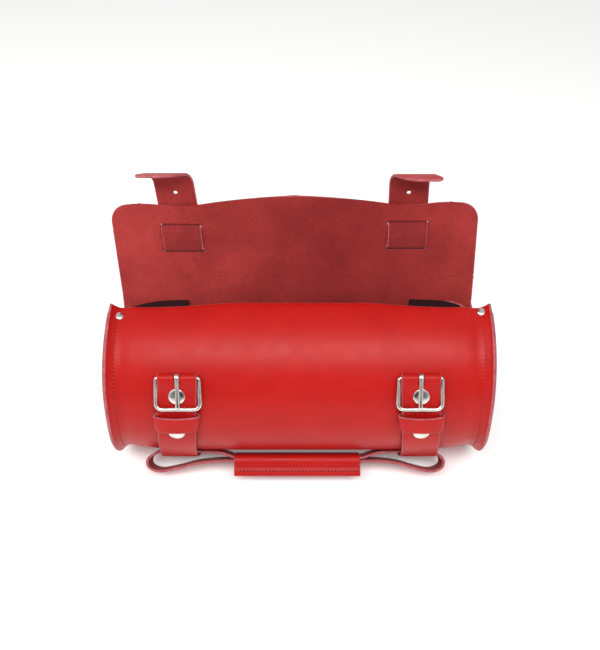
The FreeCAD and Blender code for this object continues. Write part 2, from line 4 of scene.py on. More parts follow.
import bmesh
import bpy
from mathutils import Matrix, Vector


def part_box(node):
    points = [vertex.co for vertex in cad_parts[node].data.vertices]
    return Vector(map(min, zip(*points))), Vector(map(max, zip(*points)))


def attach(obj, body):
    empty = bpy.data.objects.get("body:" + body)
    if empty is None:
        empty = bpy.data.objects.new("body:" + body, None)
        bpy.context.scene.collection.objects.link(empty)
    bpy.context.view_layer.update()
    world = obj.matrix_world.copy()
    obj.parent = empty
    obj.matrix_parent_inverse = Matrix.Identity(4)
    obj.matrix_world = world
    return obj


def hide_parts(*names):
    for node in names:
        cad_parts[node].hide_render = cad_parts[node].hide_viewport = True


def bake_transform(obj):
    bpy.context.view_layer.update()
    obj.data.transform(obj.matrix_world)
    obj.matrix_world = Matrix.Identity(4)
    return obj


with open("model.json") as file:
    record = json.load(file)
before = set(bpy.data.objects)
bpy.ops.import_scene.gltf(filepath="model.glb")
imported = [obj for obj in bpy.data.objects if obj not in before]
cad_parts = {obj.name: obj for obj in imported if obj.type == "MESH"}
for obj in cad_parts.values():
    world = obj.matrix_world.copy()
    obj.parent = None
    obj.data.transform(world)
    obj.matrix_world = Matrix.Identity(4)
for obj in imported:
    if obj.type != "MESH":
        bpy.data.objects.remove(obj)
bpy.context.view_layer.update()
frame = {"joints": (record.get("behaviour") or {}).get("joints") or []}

# --- Sizes, in metres. Angles are in degrees round the barrel: 0 front, 90 top, 180 back ----------

MM = 0.001
SIDES = {"left": -1, "right": 1}
shell_low, shell_high = (Vector(corner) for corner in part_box("body_shell"))
panel_low, panel_high = (Vector(corner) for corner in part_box("end_panel_right"))
RADIUS = (shell_high.y - shell_low.y) / 2
HALF = shell_high.x
AXIS_Y = (shell_high.y + shell_low.y) / 2
LEATHER = RADIUS - (panel_high.y - panel_low.y) / 2
AXIS_Z = panel_high.z - (RADIUS - LEATHER)
FLAT = AXIS_Z - shell_low.z
belt_low, belt_high = (Vector(corner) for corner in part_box("belt_right"))
BELT_X = (belt_low.x + belt_high.x) / 2
BELT_WIDTH = belt_high.x - belt_low.x
BELT = AXIS_Z - FLAT
FLAP_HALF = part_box("flap_front")[1][0]
joints = {joint["name"]: joint for joint in frame["joints"]}
HINGE = Vector((0, *joints["flap_hinge"]["pos_m"][1:]))
FOLD = Vector((0, *joints["flap_fold"]["pos_m"][1:]))
ALONG = (FOLD - HINGE).normalized()
BACK = Vector((0, ALONG.z, -ALONG.y))
FOLD_REACH = (FOLD - HINGE).length
HINGE_ANGLE = math.degrees(math.atan2(HINGE.z - AXIS_Z, AXIS_Y - HINGE.y))
FRONT_EDGE_ANGLE = 85
FLAP_REACH = 70 * MM
SEAM_END_ANGLE = 134
BEND_ANGLE = HINGE_ANGLE + 13


def outward(angle):
    """The unit direction away from the barrel's axis."""
    return Vector((0, -math.cos(math.radians(angle)), math.sin(math.radians(angle))))


def upward(angle):
    """The unit direction round the barrel, towards larger angles."""
    return Vector((0, math.sin(math.radians(angle)), math.cos(math.radians(angle))))


def around(angle, radius, x=0.0):
    """The point at an angle and a distance from the barrel's axis."""
    return Vector((x, AXIS_Y, AXIS_Z)) + outward(angle) * radius


def on_flap(reach, behind, x=0.0):
    """The point at a distance up the open flap from its hinge, and a distance behind its face."""
    return Vector((x, 0, 0)) + HINGE + ALONG * reach + BACK * behind


def bell(value, centre, width):
    """1 at the centre, falling towards 0 over a width on each side."""
    return math.exp(-((value - centre) / width) ** 2)


def clamped(value):
    """A value held between 0 and 1."""
    return min(1.0, max(0.0, value))


def smooth(value, start, end):
    """0 before the start, 1 after the end, and an easy slope between."""
    t = clamped((value - start) / (end - start))
    return t * t * (3 - 2 * t)


# --- Materials ------------------------------------------------------------------------------------

def new_material(name):
    """A material with its shader and a helper that adds nodes and sets their inputs."""
    material = bpy.data.materials.new(name)
    material.use_nodes = True
    tree = material.node_tree
    shader = tree.nodes["Principled BSDF"]

    def add(kind, links=(), **inputs):
        node = tree.nodes.new(kind)
        for key, value in inputs.items():
            node.inputs[key.replace("_", " ")].default_value = value
        for socket, source in links:
            tree.links.new(source, node.inputs[socket])
        return node

    def join(source, target):
        tree.links.new(source, target)

    return material, shader, add, join


def colour_ramp(add, source, stops):
    """A ramp from a 0-to-1 source through (position, linear colour) stops."""
    ramp = add("ShaderNodeValToRGB", [("Fac", source)])
    elements = ramp.color_ramp.elements
    while len(elements) < len(stops):
        elements.new(0.5)
    for element, (position, colour) in zip(elements, stops):
        element.position = position
        element.color = (*colour, 1)
    return ramp.outputs["Color"]


def grain_leather(name, dark, light):
    """Smooth dyed leather: faint mottling, fine pores and a soft waxed gloss."""
    material, shader, add, join = new_material(name)
    coords = add("ShaderNodeTexCoord").outputs["Object"]
    mottle = add("ShaderNodeTexNoise", [("Vector", coords)], Scale=38, Detail=5, Roughness=0.6)
    tone = colour_ramp(add, mottle.outputs["Fac"], [(0.3, dark), (0.7, light)])
    join(tone, shader.inputs["Base Color"])
    cells = add("ShaderNodeTexVoronoi", [("Vector", coords)], Scale=1500)
    cells.feature = "DISTANCE_TO_EDGE"
    cell_height = colour_ramp(add, cells.outputs["Distance"], [(0.0, (0, 0, 0)), (0.22, (1, 1, 1))])
    fibre = add("ShaderNodeTexNoise", [("Vector", coords)], Scale=420, Detail=4)
    soft = add("ShaderNodeBump", [("Height", fibre.outputs["Fac"])], Strength=0.10, Distance=0.0004)
    pores = add("ShaderNodeBump", [("Height", cell_height), ("Normal", soft.outputs["Normal"])],
                Strength=0.10, Distance=0.00012)
    join(pores.outputs["Normal"], shader.inputs["Normal"])
    wear = add("ShaderNodeTexNoise", [("Vector", coords)], Scale=90, Detail=6)
    gloss = add("ShaderNodeMapRange", [("Value", wear.outputs["Fac"])],
                From_Min=0.3, From_Max=0.7, To_Min=0.33, To_Max=0.46)
    join(gloss.outputs["Result"], shader.inputs["Roughness"])
    shader.inputs["Specular IOR Level"].default_value = 0.17
    shader.inputs["Coat Weight"].default_value = 0.05
    shader.inputs["Coat Roughness"].default_value = 0.45
    return material


# Where along the barrel the flesh side's painted shade is deepest; the colour is painted lighter towards
# both ends.
DEEPEST_SHADE_X = 0.03


def multiply(add, first, second):
    """The product of two colours."""
    mix = add("ShaderNodeMix")
    mix.data_type = "RGBA"
    mix.blend_type = "MULTIPLY"
    mix.inputs["Factor"].default_value = 1.0
    mix.id_data.links.new(first, mix.inputs[6])
    mix.id_data.links.new(second, mix.inputs[7])
    return mix.outputs[2]


def flesh_leather(name, dark, light, sheen=0.12):
    """The rough inner side: short nap, a little fuzz, cloudy dye, and painted shade that is deepest near
    the middle and pales towards both ends.
    """
    material, shader, add, join = new_material(name)
    coords = add("ShaderNodeTexCoord").outputs["Object"]
    cloud = add("ShaderNodeTexNoise", [("Vector", coords)], Scale=26, Detail=8, Roughness=0.65)
    base = colour_ramp(add, cloud.outputs["Fac"], [(0.32, dark), (0.68, light)])
    nap = add("ShaderNodeTexNoise", [("Vector", coords)], Scale=900, Detail=6, Roughness=0.75)
    speck = colour_ramp(add, nap.outputs["Fac"], [(0.35, (0.72, 0.72, 0.72)), (0.65, (1.12, 1.12, 1.12))])
    # Painted shade and light: the colour is multiplied darker near the middle of the barrel and lighter
    # towards both ends.
    parts = add("ShaderNodeSeparateXYZ", [("Vector", coords)])
    from_darkest = add("ShaderNodeMath", [(0, parts.outputs["X"])])
    from_darkest.inputs[1].default_value = DEEPEST_SHADE_X
    from_darkest.operation = "SUBTRACT"
    away = add("ShaderNodeMath", [(0, from_darkest.outputs["Value"])])
    away.operation = "ABSOLUTE"
    painted_shade_stops = [(0.01, (0.72, 0.60, 0.60)), (0.16, (1.15, 1.36, 1.36))]
    painted_shade = colour_ramp(add, away.outputs["Value"], painted_shade_stops)
    tone = multiply(add, multiply(add, base, painted_shade), speck)
    join(tone, shader.inputs["Base Color"])
    bump = add("ShaderNodeBump", [("Height", nap.outputs["Fac"])], Strength=0.45, Distance=0.0003)
    join(bump.outputs["Normal"], shader.inputs["Normal"])
    shader.inputs["Roughness"].default_value = 0.88
    shader.inputs["Sheen Weight"].default_value = sheen
    shader.inputs["Specular IOR Level"].default_value = 0.2
    shader.inputs["Sheen Roughness"].default_value = 0.5
    shader.inputs["Sheen Tint"].default_value = (0.9, 0.45, 0.45, 1)
    return material


def edge_paint(name):
    """A cut edge: layered fibres under a worn pink stain."""
    material, shader, add, join = new_material(name)
    coords = add("ShaderNodeTexCoord").outputs["Object"]
    fibres = add("ShaderNodeTexNoise", [("Vector", coords)], Scale=240, Detail=6, Roughness=0.7)
    stops = [(0.3, (0.20, 0.026, 0.041)), (0.5, (0.33, 0.058, 0.070)), (0.72, (0.45, 0.12, 0.13))]
    join(colour_ramp(add, fibres.outputs["Fac"], stops), shader.inputs["Base Color"])
    bump = add("ShaderNodeBump", [("Height", fibres.outputs["Fac"])], Strength=0.4, Distance=0.0003)
    join(bump.outputs["Normal"], shader.inputs["Normal"])
    shader.inputs["Roughness"].default_value = 0.6
    return material


def plated_metal(name):
    """Polished nickel plate with faint waves and fine wear in its gloss."""
    material, shader, add, join = new_material(name)
    coords = add("ShaderNodeTexCoord").outputs["Object"]
    tone = add("ShaderNodeTexNoise", [("Vector", coords)], Scale=160, Detail=4)
    stops = [(0.35, (0.60, 0.57, 0.52)), (0.65, (0.80, 0.78, 0.74))]
    join(colour_ramp(add, tone.outputs["Fac"], stops), shader.inputs["Base Color"])
    scratches = add("ShaderNodeTexNoise", [("Vector", coords)], Scale=1300, Detail=3)
    gloss = add("ShaderNodeMapRange", [("Value", scratches.outputs["Fac"])],
                From_Min=0.35, From_Max=0.7, To_Min=0.10, To_Max=0.26)
    join(gloss.outputs["Result"], shader.inputs["Roughness"])
    wave = add("ShaderNodeBump", [("Height", tone.outputs["Fac"])], Strength=0.06, Distance=0.0004)
    join(wave.outputs["Normal"], shader.inputs["Normal"])
    shader.inputs["Metallic"].default_value = 1.0
    return material


def waxed_thread(name):
    """Twisted thread: slanted strands, dull dye."""
    material, shader, add, join = new_material(name)
    coords = add("ShaderNodeTexCoord").outputs["Object"]
    strands = add("ShaderNodeTexWave", [("Vector", coords)], Scale=900, Distortion=2, Detail=2)
    strands.bands_direction = "DIAGONAL"
    stops = [(0.2, (0.30, 0.008, 0.008)), (0.8, (0.50, 0.02, 0.018))]
    join(colour_ramp(add, strands.outputs["Fac"], stops), shader.inputs["Base Color"])
    bump = add("ShaderNodeBump", [("Height", strands.outputs["Fac"])], Strength=0.5, Distance=0.0002)
    join(bump.outputs["Normal"], shader.inputs["Normal"])
    shader.inputs["Roughness"].default_value = 0.65
    return material


GRAIN = grain_leather("red_grain_leather", (0.35, 0.0047, 0.0035), (0.40, 0.0068, 0.0045))
FLESH = flesh_leather("red_flesh_side", (0.21, 0.0135, 0.0125), (0.31, 0.025, 0.023))
EDGE = edge_paint("cut_leather_edge")
# Near-black painted shade for the dust ears, which lie in shadow under the front panel's edge.
EAR_SHADE = flesh_leather("ear_painted_shade", (0.010, 0.001, 0.0015), (0.018, 0.0015, 0.002), sheen=0.0)
NICKEL = plated_metal("nickel_plate")
THREAD = waxed_thread("red_waxed_thread")
STRAP_FLESH = flesh_leather("strap_flesh_side", (0.17, 0.011, 0.010), (0.25, 0.020, 0.019))
# Dark painted shade for the awl holes between stitches.
AWL_HOLE_SHADE = flesh_leather("awl_hole_painted_shade", (0.07, 0.003, 0.003), (0.10, 0.005, 0.005), sheen=0.0)
LEATHERS = [GRAIN, FLESH, EDGE]


# --- Mesh helpers ---------------------------------------------------------------------------------

def ring_walls(base, rings, sides, closed=False):
    """The faces between successive rings of points; closed joins the last ring to the first."""
    faces = []
    for ring in range(rings if closed else rings - 1):
        low, high = base + ring * sides, base + (ring + 1) % rings * sides
        for side in range(sides):
            right = (side + 1) % sides
            faces.append([low + side, low + right, high + right, high + side])
    return faces


def build_mesh(name, verts, faces, materials, kinds=None):
    """An object from points and faces, with normals outward and smooth shading.

    kinds holds the number of each face's material.
    """
    mesh = bpy.data.meshes.new(name)
    mesh.from_pydata(verts, [], faces)
    if kinds:
        mesh.polygons.foreach_set("material_index", kinds)
    mesh_tools = bmesh.new()
    mesh_tools.from_mesh(mesh)
    bmesh.ops.remove_doubles(mesh_tools, verts=mesh_tools.verts, dist=1e-7)
    bmesh.ops.dissolve_degenerate(mesh_tools, edges=mesh_tools.edges, dist=1e-7)
    bmesh.ops.recalc_face_normals(mesh_tools, faces=mesh_tools.faces)
    mesh_tools.to_mesh(mesh)
    mesh_tools.free()
    for polygon in mesh.polygons:
        polygon.use_smooth = True
    for material in materials:
        mesh.materials.append(material)
    obj = bpy.data.objects.new(name, mesh)
    bpy.context.scene.collection.objects.link(obj)
    return obj


def leather_sheet(name, point, rows, columns, thickness, materials=LEATHERS, closed=False, pole=False):
    """A sheet of leather about the surface point(u, v), with u and v from 0 to 1.

    The side that the surface's normal leaves is the grain side. closed joins v = 1 to v = 0, and
    pole closes the sheet to one point at u = 1. The cut edges are rounded.
    """
    last = columns if closed else columns + 1
    grid = [[Vector(point(i / rows, j / columns)) for j in range(last)] for i in range(rows + 1)]

    def neighbour(i, j):
        return grid[i][j % last] if closed else grid[i][max(0, min(last - 1, j))]

    def normal(i, j):
        row = i - 1 if pole and i == rows else i
        along = grid[min(rows, row + 1)][j] - grid[max(0, row - 1)][j]
        across = neighbour(row, j + 1) - neighbour(row, j - 1)
        return along.cross(across).normalized()

    normals = [[normal(i, j) for j in range(last)] for i in range(rows + 1)]
    if pole:
        middle = sum(normals[rows], Vector()).normalized()
        normals[rows] = [middle] * last
    verts = []
    half = thickness / 2
    for sign in (1, -1):
        for i in range(rows + 1):
            verts += [grid[i][j] + normals[i][j] * (sign * half) for j in range(last)]
    below = (rows + 1) * last
    faces = []
    kinds = []
    for i in range(rows):
        for j in range(columns):
            right = (j + 1) % last
            quad = [i * last + j, i * last + right, (i + 1) * last + right, (i + 1) * last + j]
            faces.append(quad)
            faces.append([index + below for index in reversed(quad)])
            kinds += [0, 1]
    if closed:
        loops = [[(0, j) for j in range(last)]]
        if not pole:
            loops.append([(rows, j) for j in range(last)])
    else:
        loop = [(0, j) for j in range(last)] + [(i, last - 1) for i in range(1, rows + 1)]
        loop += [(rows, j) for j in range(last - 2, -1, -1)] + [(i, 0) for i in range(rows - 1, 0, -1)]
        loops = [loop]
    steps = 4
    for loop in loops:
        rim = []
        for i, j in loop:
            away = Vector()
            if i in (0, rows):
                away += (grid[i][j] - grid[1 if i == 0 else rows - 1][j]).normalized()
            if not closed and j in (0, last - 1):
                away += (grid[i][j] - grid[i][1 if j == 0 else last - 2]).normalized()
            away.normalize()
            ring = [i * last + j]
            for step in range(1, steps):
                turn = math.pi * step / steps
                verts.append(grid[i][j] + normals[i][j] * (half * math.cos(turn))
                             + away * (0.7 * half * math.sin(turn)))
                ring.append(len(verts) - 1)
            ring.append(i * last + j + below)
            rim.append(ring)
        for first, second in zip(rim, rim[1:] + rim[:1]):
            for step in range(steps):
                faces.append([first[step], second[step], second[step + 1], first[step + 1]])
                kinds.append(2)
    return build_mesh(name, verts, faces, materials, kinds)


def smooth_path(points, count):
    """Points spaced evenly along a smooth curve through the given ones."""
    points = [Vector(point) for point in points]
    ends = [points[0] * 2 - points[1]] + points + [points[-1] * 2 - points[-2]]
    fine = []
    for a, b, c, d in zip(ends, ends[1:], ends[2:], ends[3:]):
        for step in range(12):
            t = step / 12
            fine.append(0.5 * (2 * b + (c - a) * t + (2 * a - 5 * b + 4 * c - d) * t * t
                               + (3 * b - a - 3 * c + d) * t * t * t))
    fine.append(points[-1])
    lengths = [0.0]
    for a, b in zip(fine, fine[1:]):
        lengths.append(lengths[-1] + (b - a).length)
    result = []
    index = 0
    for step in range(count + 1):
        target = lengths[-1] * step / count
        while index < len(fine) - 2 and lengths[index + 1] < target:
            index += 1
        span = lengths[index + 1] - lengths[index]
        share = (target - lengths[index]) / span if span else 0
        result.append(fine[index].lerp(fine[index + 1], min(1, share)))
    return result


STRAP_COLUMNS = 10


def strap(name, path, width, thickness, count, sideways=None, materials=LEATHERS):
    """A flat strap along a path of its middle line. sideways(u) shifts and turns it as it goes."""
    line = smooth_path(path, count)

    def point(u, v):
        middle = line[round(u * count)]
        across = Vector((width * (v - 0.5), 0, 0))
        return sideways(u, middle, across) if sideways else middle + across

    return leather_sheet(name, point, count, STRAP_COLUMNS, thickness, materials)


def tube(name, path, radius, square_to, closed=False, deep=1.0):
    """A wire along a flat path, square to a direction.

    radius is a function of 0 to 1 along it. deep scales the wire's size in the path's own plane.
    """
    count = len(path)
    sides = 16
    verts = []
    for i, middle in enumerate(path):
        before = path[i - 1] if closed or i else path[0]
        after = path[(i + 1) % count] if closed or i < count - 1 else path[-1]
        tangent = (after - before).normalized()
        first = tangent.cross(square_to).normalized()
        size = radius(i / (count - 1))
        for side in range(sides):
            turn = 2 * math.pi * side / sides
            verts.append(middle + first * (math.cos(turn) * size * deep)
                         + square_to * (math.sin(turn) * size))
    faces = ring_walls(0, count, sides, closed)
    if not closed:
        faces.append(list(range(sides)))
        faces.append(list(range((count - 1) * sides, count * sides)))
    return build_mesh(name, verts, faces, [NICKEL])


def dome(name, centres, radius, height, rim):
    """Domed rivet caps: each centre is (seat point, direction away from the leather)."""
    verts = []
    faces = []
    sides = 32
    profile = [(radius * 0.97, 0), (radius, rim * 0.5), (radius * 0.985, rim)]
    for step in range(1, 8):
        turn = math.pi / 2 * step / 8
        profile.append((radius * 0.95 * math.cos(turn), rim + height * math.sin(turn)))
    for seat, direction in centres:
        turn_to = direction.to_track_quat("Z", "Y")
        base = len(verts)
        for ring_radius, ring_height in profile:
            for side in range(sides):
                angle = 2 * math.pi * side / sides
                local = (ring_radius * math.cos(angle), ring_radius * math.sin(angle), ring_height)
                verts.append(seat + turn_to @ Vector(local))
        faces += ring_walls(base, len(profile), sides)
        top = len(verts)
        verts.append(seat + direction * (rim + height))
        last = base + (len(profile) - 1) * sides
        for side in range(sides):
            faces.append([last + side, last + (side + 1) % sides, top])
        faces.append([base + side for side in range(sides)])
    return build_mesh(name, verts, faces, [NICKEL])


HOLE_LENGTH = 1.2 * MM
HOLE_RADIUS = 0.62 * MM


def stitch_row(name, stitches, holes, length, radius):
    """Separate stitches and the awl holes between them; the holes are coloured dark as painted shade.

    Each of them is (middle, direction along the seam, direction out of the leather).
    """
    verts = []
    faces = []
    kinds = []
    sides = 8
    profile = [(-0.5, 0.25), (-0.42, 0.75), (-0.2, 1.0), (0.2, 1.0), (0.42, 0.75), (0.5, 0.25)]
    marks = [(place_at, length, radius, 0) for place_at in stitches]
    marks += [(place_at, HOLE_LENGTH, HOLE_RADIUS, 1) for place_at in holes]
    for (middle, direction, out), span, thick, kind in marks:
        first_face = len(faces)
        across = direction.cross(out).normalized()
        base = len(verts)
        for position, size in profile:
            sink = out * (-thick * 2.4 * abs(position) ** 2)
            for side in range(sides):
                turn = 2 * math.pi * side / sides
                verts.append(middle + direction * (position * span) + sink
                             + across * (math.cos(turn) * thick * size)
                             + out * (math.sin(turn) * thick * size))
        faces += ring_walls(base, len(profile), sides)
        faces.append([base + side for side in range(sides)])
        last = base + (len(profile) - 1) * sides
        faces.append([last + side for side in range(sides)])
        kinds += [kind] * (len(faces) - first_face)
    return build_mesh(name, verts, faces, [THREAD, AWL_HOLE_SHADE], kinds)


SQUARE = [(1, 1), (-1, 1), (-1, -1), (1, -1)]
ROUND = [(math.cos(math.pi * step / 12), math.sin(math.pi * step / 12)) for step in range(24)]


def punch(obj, outline, holes):
    """Cut prisms of one outline out of a closed mesh. Each hole is (centre, three half-axes)."""
    for centre, axes in holes:
        right, up, deep = axes
        corners = [centre + right * a + up * b + deep * c for c in (-1, 1) for a, b in outline]
        count = len(outline)
        walls = [(k, (k + 1) % count, (k + 1) % count + count, k + count) for k in range(count)]
        ends = [tuple(range(count)), tuple(range(2 * count - 1, count - 1, -1))]
        cutter = build_mesh("cutter", corners, walls + ends, LEATHERS)
        for polygon in cutter.data.polygons:
            polygon.material_index = 2
            polygon.use_smooth = False
        modifier = obj.modifiers.new("cut", "BOOLEAN")
        modifier.operation = "DIFFERENCE"
        modifier.solver = "EXACT"
        modifier.object = cutter
        apply_modifiers(obj)
        bpy.data.objects.remove(cutter)


def apply_modifiers(obj):
    """Bake an object's modifiers into its mesh."""
    graph = bpy.context.evaluated_depsgraph_get()
    graph.update()
    baked = bpy.data.meshes.new_from_object(obj.evaluated_get(graph))
    obj.modifiers.clear()
    obj.data = baked


def place(obj, body, node):
    """Ride on a body and stand for a CAD node, which is hidden."""
    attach(obj, body)
    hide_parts(node)


def bridge(obj, node):
    """Stand for a leather CAD node, which is hidden, with the piece's place baked into its mesh."""
    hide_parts(node)
    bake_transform(obj)


# --- Barrel ---------------------------------------------------------------------------------------

STITCH_INSET = 5.6 * MM
STITCH_PITCH = 3.2 * MM
FLOOR_GAP = 0.6 * MM


def end_offset(inset):
    """How far the skin stands off the plain barrel: a lip at the rim, a pinched seam, a full middle."""
    d = inset / MM
    lip = 4.6 * math.exp(-d / 3.5)
    slow = -3.2 * bell(d, 0, 36)
    pinch = -1.5 * bell(d, 9, 6)
    seam = -0.35 * bell(d, STITCH_INSET / MM, 1.0)
    return (lip + slow + pinch + seam + 0.2) * MM


def skin_radius(angle, offset):
    """The distance from the axis to the skin, flat where the bag rests on the floor."""
    radius = RADIUS + offset
    down = -math.sin(math.radians(angle))
    if down < 0.5:
        return radius
    level = min(FLAT + offset, AXIS_Z - FLOOR_GAP) / down
    soft = 0.5 * MM
    nearer = math.exp(-(radius - RADIUS) / soft) + math.exp(-(level - RADIUS) / soft)
    return RADIUS - soft * math.log(nearer)


def in_front(angle):
    """An angle as a value from -180 to 180."""
    return (angle + 180) % 360 - 180


def rim_place(angle, side):
    """How far the rim stands from the middle: less at the top, and flared low on the front."""
    turn = in_front(angle)
    if abs(turn) > 120:
        return HALF
    drawn_in = 2.0 * MM if side < 0 else 0.2 * MM
    flare = 3.8 * MM * (1 - smooth(turn, -50, 15)) * smooth(turn, -120, -70)
    return HALF - drawn_in * smooth(turn, 20, 85) + flare


def front_edge(x):
    """The angle of the front panel's edge: it sags towards both ends and turns up at the corners."""
    d = abs(x) / MM
    return FRONT_EDGE_ANGLE - 1.8 - 2.8 * smooth(d, 45, 98) + 1.5 * smooth(d, 108, 138)


def spread(share):
    """0 to 1 mapped to -1 to 1, with more rows towards both ends."""
    return math.sin(math.pi * (share - 0.5))


def make_body_sheet():
    """The rolled body, from the front panel's edge round to the flap's bend."""
    end = BEND_ANGLE - 360

    def point(u, v):
        share = spread(v)
        start = front_edge(HALF * share)
        angle = start + (end - start) * u
        half = rim_place(angle, share)
        notch = 1 - smooth(angle, SEAM_END_ANGLE - 363, SEAM_END_ANGLE - 359)
        half += (FLAP_HALF - 1.4 * MM - half) * notch
        offset = end_offset(HALF * (1 - abs(share))) * smooth(angle, end, end + 12)
        return around(angle, skin_radius(angle, offset) - LEATHER / 2, half * share)

    sheet = leather_sheet("body_sheet", point, 150, 96, LEATHER)
    place(sheet, "root", "body_shell")


def make_end_panel(side_name, side):
    """A dished disc, its edge turned out along the inside of the rim, and lower in the mouth."""
    inner = 1.5 * LEATHER
    bend_start = 10 * MM
    disc_inset = 13 * MM
    mouth_drop = 8.5 * MM
    profile = [(inset * MM, end_offset(inset * MM) - inner) for inset in (-0.9, 1, 3, 5, 7.5, 10)]
    base = profile[-1][1]
    profile += [(bend_start + 1.8 * MM, base - 0.7 * MM), (disc_inset - 0.2 * MM, base - 2.4 * MM),
                (disc_inset, base - 5 * MM), (disc_inset + 0.2 * MM, base - 12 * MM)]
    rings = [Vector((inset, offset, 0)) for inset, offset in profile]
    steps = 30
    line = smooth_path(rings, steps)
    disc_rows = 14
    rows = steps + disc_rows

    def point(u, v):
        row = round(u * rows)
        angle = -360 * v
        turn = angle % 360
        free = smooth(turn, FRONT_EDGE_ANGLE - 9, FRONT_EDGE_ANGLE - 5)
        free *= 1 - smooth(turn, SEAM_END_ANGLE, SEAM_END_ANGLE + 4)
        half = rim_place(angle, side)
        edge = line[steps]
        if row <= steps:
            inset = line[row].x + (edge.x - line[row].x) * 0.9 * free
            radius = skin_radius(angle, line[row].y) - mouth_drop * free
            return around(angle, radius, side * (half - inset))
        share = 1 - (row - steps) / disc_rows
        radius = (skin_radius(angle, edge.y) - mouth_drop * free) * share
        sag = 1.5 * MM * (1 - share * share)
        return around(angle, radius, side * (half - edge.x - sag))

    def mirrored(u, v):
        return point(u, v if side > 0 else 1 - v)

    panel = leather_sheet("end_disc_" + side_name, mirrored, rows, 128, LEATHER, closed=True, pole=True)
    place(panel, "root", "end_panel_" + side_name)


def make_ear(side_name, side):
    """A leather tab under the front panel's edge, its free edge rising inward, coloured near-black as
    painted shade.

    The right one shows its cut edge along its top.
    """
    low, high = (Vector(corner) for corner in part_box("ear_" + side_name))
    outer = max(abs(low.x), abs(high.x))
    inner = min(abs(low.x), abs(high.x)) - 2.5 * MM
    hidden_angle, outer_angle = 70, 82.2
    rise = 9.6 if side > 0 else 6.0
    rise_length = 34 * MM
    edge_angle = 2.0

    def free_edge(x):
        t = clamped((outer - x) / rise_length)
        return outer_angle + rise * (1 - (1 - t) ** 2.6)

    def point(u, v):
        across = v if side > 0 else 1 - v
        x = inner + (outer - inner) * across
        angle = hidden_angle + (free_edge(x) - hidden_angle) * u
        radius = RADIUS + end_offset(HALF - x) - 1.5 * LEATHER - 0.4 * MM
        return around(angle, radius, side * x)

    ear = leather_sheet("dust_ear_" + side_name, point, 20, 24, LEATHER, [EAR_SHADE, EAR_SHADE, EAR_SHADE, EDGE])
    for polygon in ear.data.polygons:
        middle = polygon.center
        angle = math.degrees(math.atan2(middle.z - AXIS_Z, AXIS_Y - middle.y))
        if side > 0 and angle > free_edge(abs(middle.x)) - edge_angle:
            polygon.material_index = 3
    place(ear, "root", "ear_" + side_name)


def make_end_seam(side_name, side):
    """The row of stitches round the rim, outside the sheet and inside the end's turned edge."""
    places = []
    holes = []
    start, end = FRONT_EDGE_ANGLE - 12, SEAM_END_ANGLE + 4 - 360
    hole_sink = 0.12 * MM
    offset = end_offset(STITCH_INSET)
    step = math.degrees(STITCH_PITCH / RADIUS)
    angle = start
    while angle > end:
        for lift, sign in ((0.0, 1), (-2 * LEATHER, -1)):
            radius = skin_radius(angle, offset + lift)
            middle = around(angle, radius, side * (rim_place(angle, side) - STITCH_INSET))
            places.append((middle, upward(angle), outward(angle) * sign))
            between = angle - step / 2
            inset = rim_place(between, side) - STITCH_INSET
            middle = around(between, radius - sign * hole_sink, side * inset)
            holes.append((middle, upward(between), outward(between) * sign))
        angle -= step
    seam = stitch_row("end_stitches_" + side_name, places, holes, 2.0 * MM, 0.45 * MM)
    place(seam, "root", "end_seam_" + side_name)


# Each is (side, angle, distance in from the barrel's end).
CORNER_RIVETS = [(-1, 75.5, 8.6 * MM), (1, 78.5, 6.2 * MM)]


def make_corner_rivets():
    """The small domed caps at the front panel's top corners."""
    tilt = 0.12
    seats = []
    for side, angle, inset in CORNER_RIVETS:
        out = (outward(angle) + Vector((-side * tilt, 0, 0))).normalized()
        seat = around(angle, RADIUS + end_offset(inset) - 0.2 * MM, side * (HALF - inset))
        seats.append((seat, out))
    caps = dome("corner_rivet_caps", seats, 3.6 * MM, 1.5 * MM, 0.5 * MM)
    place(caps, "root", "corner_rivets")


# --- Belts and buckles ----------------------------------------------------------------------------

BAR_ANGLE = 36
SPLAY = 7.4 * MM
SPLAY_ANGLES = 66
BAR_LIFT = 3.9 * MM
WIRE = 1.5 * MM
BAR = around(BAR_ANGLE, RADIUS + BAR_LIFT)
FOOT = around(18.5, RADIUS + 6.8 * MM)
FRAME_UP = (BAR - FOOT).normalized()
FRAME_OUT = Vector((1, 0, 0)).cross(FRAME_UP)
FRAME_DROP = (BAR - FOOT).length
# The belt's gap off the barrel in millimetres, by angle, from the underside up to the buckle.
BELT_RISE = [
    (-62, 0.0), (-58.5, 2.4), (-55, 3.8), (-45, 3.8), (-33, 3.4), (-15, 2.7), (0, 2.6),
    (14, 2.55), (22, 2.55), (28, 2.8), (32, 4.1),
]


def belt_shift(angle):
    """How far a belt has drifted outward below its buckle."""
    return SPLAY * clamped((BAR_ANGLE - 4 - angle) / SPLAY_ANGLES)


def belt_path(side):
    """The belt's middle line: up the back end, under the barrel, up the front and round the bar."""
    half = BELT / 2
    path = []
    angle = BEND_ANGLE + 1 - 360
    while angle < BELT_RISE[0][0] - 4:
        drift = SPLAY * clamped((angle + 260) / 160)
        path.append(around(angle, skin_radius(angle, half), side * drift))
        angle += 5
    for angle, gap in BELT_RISE:
        path.append(around(angle, RADIUS + gap * MM + half, side * belt_shift(angle)))
    fold = WIRE + 0.1 * MM + half
    for step in range(7):
        turn = math.pi * step / 6
        path.append(BAR + outward(BAR_ANGLE) * (fold * math.cos(turn))
                    + upward(BAR_ANGLE) * (fold * math.sin(turn)))
    low = BAR_LIFT - fold
    path += [around(angle, RADIUS + low) for angle in (31, 26, 21.5, 17.6)]
    return path


